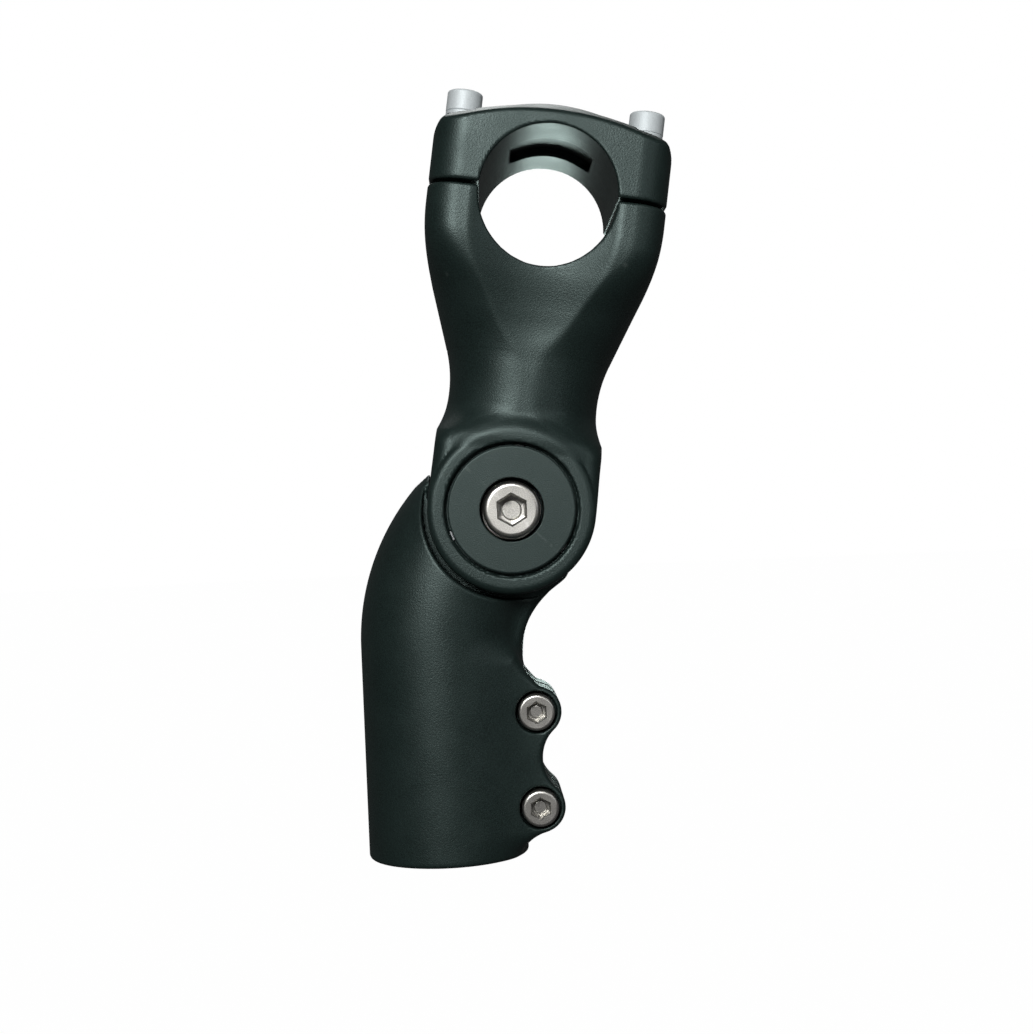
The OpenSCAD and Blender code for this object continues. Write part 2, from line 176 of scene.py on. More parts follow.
# Bolts: thread size, head radius and socket across flats
M5_BOLT = 5, 4.25, 4
M8_BOLT = 8, 6.5, 6
THREAD_PITCH = {5: 0.8, 8: 1.25}
CAP_BOLT_LENGTH = 35.0
CAP_BOLT_PLAIN = 12.0
PINCH_BOLT_LENGTH = 19.5
PINCH_BOLT_PLAIN = 8.0
PIVOT_BOLT_PLAIN = 18.0
WASHER_IN_R = 2.65
WASHER_OUT_R = 4.2
WASHER_THICK = 1.0

# Lock discs, teeth and hub, outwards along Y
M8_R = 4.0
HEAD_BORE_R = 7.35
HEAD_SEAT_Y = 9.4
PIVOT_BOLT_END_Y = 16.5
DISC_FACE_R = 14.7
DISC_FACE_Y = 18.6
DISC_FLANGE_R = 15.0
FLANGE_IN_Y = 12.0
DISC_WALL_R = 13.6
DISC_BASE_Y = 8.85
TOOTH_COUNT = 40
TOOTH_H = 0.7
TOOTH_W = 1.3
TOOTH_IN_R = 10.4
TOOTH_OUT_R = 12.75
HUB_R = 9.0
HUB_BORE_R = 7.0
HUB_END_Y = 2.0
HUB_FLOOR_Y = 7.0
SPRING_WIRE_R = 0.6
SPRING_TURNS = 5
SPRING_END_TURNS = 1
SPRING_END_GAP = 0.15

# Mesh detail
STEP = 0.5
LOWER_STEP = 0.54
THREAD_STEPS = 8
BOLT_SIDES = 72
SIDES_PER_TOOTH = 8
ARC_STEPS = 5
FLAT_EDGE = 0.04
SMOOTH_ANGLE = 40


# ---- distance fields, negative inside ----


def round_max(a, b, r):
    """What two fields share, with its edge rounded to radius r."""
    corner = np.hypot(np.maximum(a + r, 0), np.maximum(b + r, 0))
    return np.minimum(np.maximum(a, b), -r) + corner


def round_min(a, b, r):
    """Two fields joined, with a fillet of radius r."""
    return -round_max(-a, -b, r)


def round_cut(a, b, r):
    """Field a with field b taken out of it, and the edge rounded to radius r."""
    return round_max(a, -b, r)


def blend_min(a, b, width):
    """Two fields joined by a broad soft blend."""
    near = np.maximum(width - np.abs(a - b), 0) / width
    return np.minimum(a, b) - near * near * width / 4


def disc(u, v, u0, v0, r):
    return np.hypot(u - u0, v - v0) - r


def ring_of_discs(u, v, reach, r, first_angle):
    """Discs spaced evenly round the origin."""
    angles = [math.radians(first_angle + i * 360 / KEY_COUNT) for i in range(KEY_COUNT)]
    fields = [disc(u, v, reach * math.cos(t), reach * math.sin(t), r) for t in angles]
    return np.minimum.reduce(fields)


def polygon(u, v, corners):
    """Exact distance to a polygon's outline, negative inside."""
    nearest = None
    inside = False
    for (u0, v0), (u1, v1) in zip(corners, corners[1:] + corners[:1]):
        du, dv = u1 - u0, v1 - v0
        along = np.clip(((u - u0) * du + (v - v0) * dv) / (du * du + dv * dv), 0, 1)
        gap = np.hypot(u - u0 - along * du, v - v0 - along * dv)
        nearest = gap if nearest is None else np.minimum(nearest, gap)
        if v0 != v1:
            crosses = ((v0 > v) != (v1 > v)) & (u < u0 + (v - v0) * du / dv)
            inside = inside ^ crosses
    return np.where(inside, -nearest, nearest)


def step_up(v, start, end):
    """0 before start, 1 after end, and a smooth rise between."""
    t = np.clip((v - start) / (end - start), 0, 1)
    return t * t * (3 - 2 * t)


# ---- lower body ----


def node_centre(node):
    low, high = node_box(node)
    return (low.x + high.x) / 2, (low.z + high.z) / 2


PINCH_POINTS = [node_centre("pinch_bolt_lower"), node_centre("pinch_bolt_upper")]
PINCH_SEAT_Y = -LUG_Y + 4.8


def bent_tube(x, y, z):
    """The straight clamp tube, which bends forward above BEND_Z until it reaches the pivot."""
    straight = np.hypot(x, y) - TUBE_R
    reach = np.hypot(x - BEND_R, z - BEND_Z)
    bent = np.hypot(reach - BEND_R, y) - TUBE_R
    turn = math.atan2(PIVOT.z - BEND_Z, BEND_R - PIVOT.x)
    past_end = (x - PIVOT.x) * math.sin(turn) + (z - PIVOT.z) * math.cos(turn)
    return np.maximum(np.where(z < BEND_Z, straight, bent), past_end)


def lug_outline(x, z):
    """Two round bosses on a flange, with a round notch between them that touches both."""
    (reach, low), (_, high) = PINCH_POINTS
    half = (high - low) / 2
    notch_r = (half ** 2 + NOTCH_BOTTOM ** 2 - BOSS_R ** 2) / (2 * (BOSS_R - NOTCH_BOTTOM))
    share = BOSS_R / (BOSS_R + notch_r)
    touch_x, touch_z = share * (NOTCH_BOTTOM + notch_r), share * half
    foot = [(WEB_ROOT_X, 6), (TUBE_R - 0.5, 5), (reach + 0.5, low - BOSS_R + 0.05)]
    front = [(reach + touch_x, low + touch_z), (reach + touch_x, high - touch_z)]
    slope = [(reach + 0.9, high + 5.8), (reach - 2.6, high + 8.8), (TUBE_R - 2.4, high + 12)]
    flange = polygon(x, z, foot + front + slope + [(WEB_ROOT_X, high + 12)])
    for x0, z0 in PINCH_POINTS:
        flange = np.minimum(flange, disc(x, z, x0, z0, BOSS_R))
    return np.maximum(flange, -disc(x, z, reach + NOTCH_BOTTOM + notch_r, (low + high) / 2, notch_r))


def neck_web(x, y, z):
    """Web under the tongue: one long hollow curve from the front of the tube to the tongue's rim."""
    from_pivot = np.hypot(x - PIVOT.x, z - PIVOT.z)
    under_tongue = z - (PIVOT.z - EAR_R - STOP_GAP)
    rim = TONGUE_R + TONGUE_LIP * (1 - step_up(z, PIVOT.z - 20, PIVOT.z - 12))
    block = blend_min(under_tongue, np.maximum(from_pivot - rim, PIVOT.x - x), 1.4)
    block = np.maximum(block, np.maximum(WEB_ROOT_X - x, WEB_BOTTOM_Z - z))
    outline = round_cut(block, disc(x, z, WEB_CURVE_X, WEB_CURVE_Z, WEB_CURVE_R), 0.6)
    return round_max(outline, np.abs(y) - TONGUE_Y, WEB_EDGE_R)


def to_arm(x, z):
    """Distance across and up the arm of a point in the row frame."""
    dx, dz = x - PIVOT.x, z - PIVOT.z
    across = dx * math.cos(LEAN) - dz * math.sin(LEAN)
    up = dx * math.sin(LEAN) + dz * math.cos(LEAN)
    return across, up


def tilt_space(x, y, z):
    """Space swept by the ears and the throat as the arm tilts."""
    from_pivot = np.hypot(x - PIVOT.x, z - PIVOT.z)
    ears = np.maximum(from_pivot - RECESS_R, TONGUE_Y - np.abs(y))
    b, a = to_arm(x, z)
    arm = np.maximum(np.abs(b) - EAR_R - STOP_GAP, -a)
    arm = np.maximum(arm, TONGUE_R + 0.05 - from_pivot)
    return np.minimum(ears, arm)


def steerer_clamp_field(x, y, z):
    side = np.abs(y)
    tube = bent_tube(x, y, z)
    lugs = round_max(lug_outline(x, z), side - LUG_Y, LUG_EDGE_R)
    middle_blend, side_blend = LUG_BLENDS
    body = blend_min(tube, lugs, middle_blend + (side_blend - middle_blend) * step_up(side, 3, 11))
    body = blend_min(body, neck_web(x, y, z), WEB_BLEND)
    body = round_cut(body, tilt_space(x, y, z), 0.7)
    from_pivot = np.hypot(x - PIVOT.x, z - PIVOT.z)
    body = np.minimum(body, round_max(from_pivot - TONGUE_R, side - TONGUE_Y, TONGUE_EDGE_R))
    body = round_max(body, -z, 1.0)
    body = round_cut(body, np.maximum(np.hypot(x, y) - BORE_R, z - SOCKET_TOP), 0.5)
    body = round_cut(body, np.maximum(np.hypot(x, y) - TOOL_HOLE_R, SOCKET_TOP - 1 - z), 0.6)
    slit = np.maximum(np.maximum(side - SLIT_HALF, -x), z - SLIT_TOP)
    slit = np.minimum(slit, np.maximum(np.hypot(side, z - SLIT_TOP) - 1.5, BORE_R - 1 - x))
    body = round_cut(body, slit, 0.3)
    for x0, z0 in PINCH_POINTS:
        from_bolt = np.hypot(x - x0, z - z0)
        body = np.maximum(body, -np.maximum(from_bolt - M5_CLEAR_R, y))
        body = np.maximum(body, M5_THREAD_R - from_bolt)
        body = round_cut(body, np.maximum(from_bolt - M5_COUNTERBORE_R, y - PINCH_SEAT_Y), 0.35)
    body = np.maximum(body, BUSH_R - from_pivot)
    pocket = np.maximum(from_pivot - RING_R, RING_SEAT_Y - side)
    dowels = ring_of_discs(x - PIVOT.x, z - PIVOT.z, RING_R - 0.02, DOWEL_R, 60)
    pocket = np.minimum(pocket, np.maximum(dowels, RING_SEAT_Y - side))
    return np.maximum(body, -pocket)


# ---- arm and cap, in the arm's own frame: b across, y along the bar, a up the arm ----


def half_width(a):
    """Half the arm's width seen along Y: flat ear, hollow neck, sloping flank, straight clamp."""
    neck = NECK_CUT_B - np.sqrt(np.maximum(NECK_CUT_R**2 - (a - NECK_CUT_A) ** 2, 0))
    slope = SLOPE_B + SLOPE * (a - SLOPE_A)
    outline = np.where(a < SLOPE_A, np.minimum(neck, EAR_R), slope)
    outline = np.where(a < NECK_START_A, EAR_R, outline)
    return blend_min(outline, CLAMP_HALF, 3.0)


def arm_height(a):
    """Half the arm's thickness along Y: level with the ears, thin at the neck, flared at the clamp."""
    ear = (EAR_OUT_Y - NECK_Y) * (1 - step_up(a, *EAR_FADE))
    return NECK_Y + ear + (CLAMP_Y - NECK_Y) * step_up(a, *CLAMP_FLARE)


def corner_radius(a):
    """Tight at the ears, almost round at the neck, and tighter again at the clamp's columns."""
    ear = EAR_EDGE_R + 2.2 * step_up(a, 1, 12)
    neck = NECK_ROUNDING * step_up(a, *NECK_RISE)
    return ear + neck - 1.6 * step_up(a, 36, 48) - 8.1 * step_up(a, 46, 62)


def crease_half(a):
    """Half the width of the hollow panel between the two columns."""
    return blend_min(np.maximum(CREASE_SLOPE * (a - CREASE_START_A), 0), CREASE_END_B, 4.0)


def arm_outside(b, y, a):
    """The arm before anything is cut: a rounded section, a hollow panel each side, and the ears."""
    across, side = np.abs(b), np.abs(y)
    w, h, r = half_width(a), arm_height(a), corner_radius(a)
    section = round_max(across - w, side - h, r)
    crease = crease_half(a)
    over = np.maximum(crease - (w - r), 0)
    ridge = h - (r - np.sqrt(np.maximum(r * r - over * over, 0)))
    panel = side - (ridge - (crease * crease - across * across) / (2 * PANEL_R))
    panel = panel - PANEL_LIFT * (1 - step_up(a, *PANEL_START))
    body = np.where(a > NECK_CUT_A, -blend_min(-section, -panel, PANEL_EDGE_BLEND), section)
    body = round_max(body, a - ARM_TOP, EDGE_R)
    pad = round_max(np.hypot(a, b) - EAR_R, side - EAR_OUT_Y, EAR_EDGE_R)
    body = np.where(a < 0, pad, body)
    return round_min(body, pad, EAR_FILLET_R * step_up(a, *EAR_FILLET_START))


def extension_arm_field(b, y, a):
    side = np.abs(y)
    from_pivot = np.hypot(a, b)
    body = arm_outside(b, y, a)
    body = round_cut(body, disc(a, b, BAR_A, 0, BAR_R), 0.5)
    slot = np.maximum(side - EAR_IN_Y, np.minimum(a, from_pivot - THROAT_R))
    body = round_cut(body, slot, 0.4)
    body = np.maximum(body, DISC_BORE_R - from_pivot)
    window = np.maximum(from_pivot - WINDOW_R, EAR_OUT_Y - WINDOW_DEPTH - side)
    body = round_cut(body, window, 0.35)
    keys = ring_of_discs(a, b, DISC_BORE_R, DOWEL_R, 0)
    body = np.maximum(body, -np.maximum(keys, np.maximum(EAR_IN_Y + 1 - side, side - KEY_END_Y)))
    bolts = np.hypot(np.abs(b) - CAP_BOLT_B, y) - M5_THREAD_R
    return np.maximum(body, -np.maximum(bolts, ARM_TOP - CAP_THREAD_DEPTH - a))


def cap_top(b, y):
    """Height of the cap's crowned top: a hump in the middle that runs straight down to the bolts."""
    edge = CAP_FACE_A - b * b / (2 * CAP_FACE_R)
    out = np.minimum(np.abs(b), CAP_CROWN_HALF)
    middle = CAP_CROWN_A - out * out / (2 * CAP_CROWN_R) - CAP_CROWN_SLOPE * (np.abs(b) - out)
    return edge + (middle - edge) * (1 - (y / (CLAMP_Y - 1.5)) ** 2)


def bar_clamp_cap_field(b, y, a):
    across, side = np.abs(b), np.abs(y)
    body = round_max(across - CLAMP_HALF, side - CLAMP_Y, CAP_CORNER_R)
    body = round_max(body, (a - cap_top(b, y)) * 0.97, 0.9)
    shoulder = round_max(across - CLAMP_HALF, a - CAP_SHOULDER_A, CAP_SHOULDER_R)
    near_bolts = across > CLAMP_HALF - CAP_SHOULDER_R - 2
    body = np.maximum(body, np.where(near_bolts, shoulder, body))
    body = round_max(body, CAP_BOTTOM - a, EDGE_R)
    body = round_cut(body, disc(a, b, BAR_A, 0, BAR_R), 0.5)
    turn = np.abs(np.arctan2(b, a - BAR_A))
    past_end = (turn - math.radians(POCKET_HALF_ANGLE)) * BAR_R
    pocket = round_max(side - POCKET_Y, past_end, POCKET_CORNER_R)
    pocket = np.maximum(disc(a, b, BAR_A, 0, BAR_R + POCKET_DEPTH), pocket)
    body = round_cut(body, pocket, 0.35)
    from_bolt = np.hypot(np.abs(b) - CAP_BOLT_B, y)
    body = np.maximum(body, M5_CLEAR_R - from_bolt)
    return round_cut(body, np.maximum(from_bolt - M5_COUNTERBORE_R, CAP_SEAT - a), 0.4)


# ---- meshes from fields ----


def slope_of(field, points, reach=0.04):
    """Gradient of a field at each point."""
    slopes = np.empty_like(points)
    for axis in range(3):
        shift = np.zeros(3)
        shift[axis] = reach
        slopes[:, axis] = field(*(points + shift).T) - field(*(points - shift).T)
    return slopes / (2 * reach)


def edge_crossings(field, values, axes, axis):
    """Grid edges along one axis that pass through the surface, and where they do."""
    size = values.shape[axis]
    start = np.take(values, range(size - 1), axis)
    end = np.take(values, range(1, size), axis)
    found = np.argwhere((start < 0) != (end < 0))
    at = tuple(found.T)
    points = np.stack([axes[i][found[:, i]] for i in range(3)], 1).astype(float)
    low, high = points[:, axis].copy(), axes[axis][found[:, axis] + 1].astype(float)
    f_low, f_high = start[at].astype(float), end[at].astype(float)
    for _ in range(3):
        points[:, axis] = low + (high - low) * f_low / (f_low - f_high)
        f = field(*points.T)
        below = (f < 0) == (f_low < 0)
        low, f_low = np.where(below, points[:, axis], low), np.where(below, f, f_low)
        high, f_high = np.where(below, high, points[:, axis]), np.where(below, f_high, f)
        f_low = np.where(f_low == 0, 1e-12, f_low)
    return found, points, start[at] < 0


def contour(field, low, high, step):
    """Dual contouring: vertices, quads and vertex normals of the surface where field is 0."""
    axes = [np.arange(low[i], high[i] + step, step) for i in range(3)]
    values = field(*np.meshgrid(*axes, indexing="ij", sparse=True))
    cells = tuple(len(axis) for axis in axes)
    corner_cells, samples, normals, quads = [], [], [], []
    for axis in range(3):
        found, points, outward = edge_crossings(field, values, axes, axis)
        slopes = slope_of(field, points)
        slopes /= np.maximum(np.linalg.norm(slopes, axis=1, keepdims=True), 1e-9)
        u, v = (axis + 1) % 3, (axis + 2) % 3
        around = []
        for back_u, back_v in ((1, 1), (0, 1), (0, 0), (1, 0)):
            cell = found.copy()
            cell[:, u] -= back_u
            cell[:, v] -= back_v
            around.append(np.ravel_multi_index(cell.T, cells))
            corner_cells.append(around[-1])
            samples.append(points)
            normals.append(slopes)
        loop = np.stack(around, 1)
        quads.append(np.where(outward[:, None], loop, loop[:, ::-1]))
    used, index = np.unique(np.concatenate(corner_cells), return_inverse=True)
    samples, normals = np.concatenate(samples), np.concatenate(normals)
    count = np.bincount(index).astype(float)

    def total(weights):
        return np.bincount(index, weights, len(used))

    middle = np.stack([total(samples[:, i]) for i in range(3)], 1) / count[:, None]
    reach = np.einsum("ij,ij->i", normals, samples - middle[index])
    matrix = np.empty((len(used), 3, 3))
    right = np.empty((len(used), 3))
    for i in range(3):
        right[:, i] = total(normals[:, i] * reach)
        for j in range(3):
            matrix[:, i, j] = total(normals[:, i] * normals[:, j])
    # A little damping keeps a vertex on flat ground near the middle of its samples.
    matrix += np.eye(3) * (0.04 * count)[:, None, None]
    shift = np.linalg.solve(matrix, right[:, :, None])[:, :, 0]
    vertices = middle + np.clip(shift, -0.75 * step, 0.75 * step)
    # Two short steps along the slope put every vertex back on the surface.
    for _ in range(2):
        slopes = slope_of(field, vertices)
        gap = field(*vertices.T) / np.maximum(np.einsum("ij,ij->i", slopes, slopes), 0.25)
        vertices -= np.clip(gap, -0.3 * step, 0.3 * step)[:, None] * slopes
    slopes = slope_of(field, vertices, 0.12)
    slopes /= np.maximum(np.linalg.norm(slopes, axis=1, keepdims=True), 1e-9)
    return vertices, np.searchsorted(used, np.concatenate(quads)), slopes


def arm_matrix():
    """From the arm's own frame (b, y, a) to the row frame, in millimetres."""
    return Matrix.Translation(PIVOT) @ Matrix.Rotation(LEAN, 4, "Y")


def add_mesh(name, vertices, faces, place=None, normals=None):
    """A smooth mesh object in metres from points in millimetres."""
    points = np.asarray(vertices, float)
    if place is not None:
        turn = np.array(place.to_3x3())
        points = points @ turn.T + np.array(place.translation)
        if normals is not None:
            normals = normals @ turn.T
    mesh = bpy.data.meshes.new(name)
    mesh.from_pydata((points * MM).tolist(), [], faces if isinstance(faces, list) else faces.tolist())
    mesh.polygons.foreach_set("use_smooth", np.ones(len(mesh.polygons), bool))
    if normals is not None:
        mesh.normals_split_custom_set_from_vertices(normals.tolist())
    mesh.update()
    obj = bpy.data.objects.new(name, mesh)
    bpy.context.scene.collection.objects.link(obj)
    return obj


def skin(name, field, low, high, step, place=None):
    """A forged body from its distance field."""
    vertices, faces, normals = contour(field, low, high, step)
    return add_mesh(name, vertices, faces, place, normals)


# ---- turned and coiled pieces ----


def ring_mesh(name, rings, place, loop=False):
    """Joins rings of points in order. A loop closes on itself, and otherwise both ends are capped."""
    count, sides = len(rings), len(rings[0])
    faces = []
    for i in range(count if loop else count - 1):
        near, far = i * sides, (i + 1) % count * sides
        for k in range(sides):
            k2 = (k + 1) % sides
            faces.append((near + k, far + k, far + k2, near + k2))
    if not loop:
        faces.append(tuple(range(sides)))
        faces.append(tuple(range(count * sides - 1, (count - 1) * sides - 1, -1)))
    obj = add_mesh(name, np.concatenate(rings), faces, place)
    obj.data.set_sharp_from_angle(angle=math.radians(SMOOTH_ANGLE))
    return obj


def lathe(name, profile, place, sides=96, loop=False):
    """A turned piece from (radius, height) pairs, top first, each a number or one value for every side."""
    turn = np.arange(sides) * 2 * math.pi / sides
    rings = [np.stack([r * np.cos(turn), r * np.sin(turn), z + 0 * turn], 1) for r, z in profile]
    return ring_mesh(name, rings, place, loop)


def rounded(corners):
    """A profile from (radius, height, fillet) corners. Each fillet is an arc between short straight
    edges, which keep the faces beside it flat in the light.
    """
    profile = []
    for i, (r, z, fillet) in enumerate(corners):
        here = Vector((r, z))
        if fillet == 0:
            profile.append((r, z))
            continue
        back = (Vector(corners[i - 1][:2]) - here).normalized()
        ahead = (Vector(corners[(i + 1) % len(corners)][:2]) - here).normalized()
        half = back.angle(ahead) / 2
        centre = here + (back + ahead).normalized() * fillet / math.sin(half)
        start = here + back * fillet / math.tan(half) - centre
        end = here + ahead * fillet / math.tan(half) - centre
        profile.append(tuple(centre + start + back * FLAT_EDGE))
        for t in np.linspace(0, 1, ARC_STEPS):
            profile.append(tuple(centre + start.slerp(end, t) * fillet))
        profile.append(tuple(centre + end + ahead * FLAT_EDGE))
    return profile


def hexagon(across_flats, sides):
    """Radius of a hexagon at each side of a lathe, a flat at the first side."""
    turn = (np.arange(sides) * 360 / sides + 30) % 60 - 30
    return across_flats / 2 / np.cos(np.radians(turn))


def thread(r, pitch, top, bottom, sides):
    """Rings of a right-handed thread that fades in at the top and ends in a chamfer."""
    turn = np.arange(sides) / sides
    rings = []
    for z in np.arange(top, bottom, -pitch / THREAD_STEPS):
        phase = (z / pitch - turn) % 1
        groove = np.clip(1.25 * np.abs(2 * phase - 1) - 0.12, 0, 1)
        fade = min((top - z) / pitch, 1)
        chamfer = max(0, 1 - (z - bottom) / (0.8 * pitch)) * 0.6 * pitch
        crest = r - 0.61 * pitch * groove * fade
        rings.append((np.minimum(crest, r - chamfer), z))
    return rings


def bolt_profile(size, head_r, across_flats, shank, plain, pitch, sides):
    """Socket bolt, seat at 0 and head upwards, with a plain round stud in the socket."""
    wall = hexagon(across_flats, sides)
    mouth = wall * 1.15
    floor = size * 0.45
    stud_r = 0.38 * across_flats
    stud_top = floor + 0.7
    head = rounded([
        (stud_r - 0.9, stud_top, 0), (stud_r, stud_top, 0.25), (stud_r, floor, 0),
    ])
    head += [(0.97 * wall, floor), (wall, floor + 0.06), (wall, size - 0.15 * wall), (mouth, size)]
    head += rounded([
        (across_flats * 0.7, size, 0), (head_r, size, 0.13 * size), (head_r, 0, 0.2),
        (size / 2 + 0.35, 0, 0), (size / 2, -0.35, 0), (size / 2, -plain, 0),
    ])
    end = [(size / 2 - 0.6 * pitch, -shank), (size / 2 - 1.2, -shank)]
    return head + thread(size / 2, pitch, -plain - 0.1, -shank + 0.02, sides) + end


def socket_bolt(name, kind, shank, plain, place):
    size, head_r, across_flats = kind
    profile = bolt_profile(size, head_r, across_flats, shank, plain, THREAD_PITCH[size], BOLT_SIDES)
    return lathe(name, profile, place, BOLT_SIDES)


def sweep(name, section, path, place):
    """Wire or split ring: (radius, height) points carried round by path's (turn, height) pairs."""
    rings = []
    for turn, height in path:
        rings.append(np.array([(r * math.cos(turn), r * math.sin(turn), z + height) for r, z in section]))
    return ring_mesh(name, rings, place)


def lock_washer(name, place):
    """Split spring washer, its ends sprung a little apart within its thickness."""
    spring, edge = 0.08, 0.12
    half = (WASHER_THICK - spring) / 2
    section = rounded([
        (WASHER_IN_R, half, edge), (WASHER_OUT_R, half, edge),
        (WASHER_OUT_R, -half, edge), (WASHER_IN_R, -half, edge)
    ])
    gap = 0.3 / WASHER_OUT_R
    steps = np.linspace(gap, 2 * math.pi - gap, 72)
    path = [(t, WASHER_THICK / 2 + spring * (t / (2 * math.pi) - 0.5)) for t in steps]
    return sweep(name, section, path, place)


def notched(r, sides, reach, key_r, first_angle):
    """A round rim of radius r with half-round key slots centred on radius reach."""
    turn = np.radians(np.arange(sides) * 360 / sides)
    slots = np.radians(first_angle + np.arange(KEY_COUNT) * 360 / KEY_COUNT)
    off = np.abs((turn[:, None] - slots + math.pi) % (2 * math.pi) - math.pi).min(1)
    inside = np.maximum(key_r ** 2 - (reach * np.sin(off)) ** 2, 0)
    cut = reach * np.cos(off) - np.sqrt(inside)
    return np.where(off < math.pi / 4, np.where(inside > 0, np.minimum(cut, r), r), r)


def tooth_ridge(r, sides, first_angle):
    """Height of the radial lock teeth at each side of a lathe."""
    turn = np.arange(sides) * 360 / sides
    pitch = 360 / TOOTH_COUNT
    off = np.abs((turn - first_angle + pitch / 2) % pitch - pitch / 2)
    return TOOTH_H * np.maximum(1 - np.radians(off) * r / (TOOTH_W / 2), 0)


def disc_profile(near, sides):
    """Lock disc, its face at the top and its hub at the bottom, as distances from the stem's middle."""
    flange = notched(DISC_FLANGE_R, sides, DISC_BORE_R, DOWEL_R + 0.03, 0)
    ridge_in = tooth_ridge(TOOTH_IN_R, sides, 180 / TOOTH_COUNT)
    ridge_out = tooth_ridge(TOOTH_OUT_R, sides, 180 / TOOTH_COUNT)
    if near:
        bore = M8_R + 0.25
        mouth = [(bore, HUB_FLOOR_Y, 0), (bore, HEAD_SEAT_Y, 0.1), (HEAD_BORE_R, HEAD_SEAT_Y, 0)]
        mouth.append((HEAD_BORE_R, DISC_FACE_Y, 0.2))
    else:
        bore = M8_R + 0.05
        mouth = [(bore, HUB_FLOOR_Y, 0), (bore, DISC_FACE_Y - 0.8, 0), (bore + 0.8, DISC_FACE_Y, 0.1)]
    window_y = EAR_OUT_Y - WINDOW_DEPTH
    face = rounded(mouth + [
        (DISC_FACE_R, DISC_FACE_Y, 0.5), (DISC_FACE_R, window_y, 0)
    ])
    rim = [(flange - 0.15, window_y), (flange, window_y - 0.15), (flange, FLANGE_IN_Y + 0.15)]
    rim += [(flange - 0.15, FLANGE_IN_Y), (DISC_WALL_R, FLANGE_IN_Y)]
    teeth = [(DISC_WALL_R, DISC_BASE_Y + 0.1), (DISC_WALL_R - 0.1, DISC_BASE_Y), (TOOTH_OUT_R, DISC_BASE_Y)]
    teeth += [(TOOTH_OUT_R, DISC_BASE_Y - ridge_out), (TOOTH_IN_R, DISC_BASE_Y - ridge_in)]
    teeth += [(TOOTH_IN_R, DISC_BASE_Y), (TOOTH_IN_R - 0.2, DISC_BASE_Y), (TOOTH_IN_R - 0.2, FLANGE_IN_Y)]
    hub = rounded([
        (HUB_R, FLANGE_IN_Y, 0), (HUB_R, HUB_END_Y, 0.3),
        (HUB_BORE_R, HUB_END_Y, 0.3), (HUB_BORE_R, HUB_FLOOR_Y, 0)
    ])
    return face + rim + teeth + hub


def ring_profile(sides):
    """Toothed ring pressed into the tongue, teeth up."""
    rim = notched(RING_R - 0.02, sides, RING_R - 0.02, DOWEL_R, 60)
    ridge_in = tooth_ridge(TOOTH_IN_R, sides, 0)
    ridge_out = tooth_ridge(TOOTH_OUT_R, sides, 0)
    base = TONGUE_Y - TOOTH_H
    bore = BUSH_R
    return [
        (bore, RING_SEAT_Y), (bore, base - 0.05), (bore + 0.05, base), (TOOTH_IN_R, base),
        (TOOTH_IN_R, base + ridge_in), (TOOTH_OUT_R, base + ridge_out), (TOOTH_OUT_R, base),
        (rim - 0.12, base), (rim, base - 0.12), (rim, RING_SEAT_Y + 0.12), (rim - 0.12, RING_SEAT_Y)
    ]


def out_matrix(side, turned):
    """Local Z out along Y from the middle of the pivot, local X up the arm if turned, else forward."""
    along = ARM_DIRECTION if turned else Vector((1, 0, 0))
    out = Vector((0, side, 0))
    across = out.cross(along)
    frame_axes = Matrix((along, across, out)).transposed().to_4x4()
    return Matrix.Translation(PIVOT) @ frame_axes


def dowels(name, side, turned, reach, first_angle, start, end):
    """Three chamfered dowels in one mesh, spaced evenly round the pivot."""
    r = DOWEL_R - 0.02
    place = out_matrix(side, turned)
    pieces = []
    for i in range(KEY_COUNT):
        angle = math.radians(first_angle + i * 360 / KEY_COUNT)
        at = Matrix.Translation((reach * math.cos(angle), reach * math.sin(angle), 0))
        profile = rounded([(0.4, end, 0), (r, end, 0.2), (r, start, 0.2), (0.4, start, 0)])
        pieces.append(lathe(name, profile, place @ at, 32))
    return join(name, pieces)


def join(name, pieces):
    """One mesh object out of several."""
    with bpy.context.temp_override(active_object=pieces[0], selected_editable_objects=pieces):
        bpy.ops.object.join()
    pieces[0].name = name
    return pieces[0]


def spring_path():
    """Five coils with two closed ends, as (turn, height) pairs."""
    path = []
    total = SPRING_TURNS + 2 * SPRING_END_TURNS
    half = HUB_FLOOR_Y - SPRING_END_GAP - SPRING_WIRE_R
    closed = 2 * SPRING_WIRE_R + 0.05
    for t in np.linspace(0, total, int(total * 40)):
        if t < SPRING_END_TURNS:
            height = -half + closed * t / 2 / SPRING_END_TURNS
        elif t > total - SPRING_END_TURNS:
            height = half - closed * (total - t) / 2 / SPRING_END_TURNS
        else:
            share = (t - SPRING_END_TURNS) / SPRING_TURNS
            height = (closed / 2 - half) * (1 - 2 * share)
        path.append((2 * math.pi * t, height))
    return path


# ---- finishes ----


def wire(tree, source, output, target, socket):
    tree.links.new(source.outputs[output], target.inputs[socket])


def noise(tree, coords, size_mm, detail):
    """Noise with features of about size_mm."""
    node = tree.nodes.new("ShaderNodeTexNoise")
    node.inputs["Scale"].default_value = 1 / (size_mm * MM)
    node.inputs["Detail"].default_value = detail
    wire(tree, coords, "Object", node, "Vector")
    return node


def remap(tree, source, output, low, high, to_low, to_high):
    node = tree.nodes.new("ShaderNodeMapRange")
    for name, value in (("From Min", low), ("From Max", high), ("To Min", to_low), ("To Max", to_high)):
        node.inputs[name].default_value = value
    wire(tree, source, output, node, "Value")
    return node


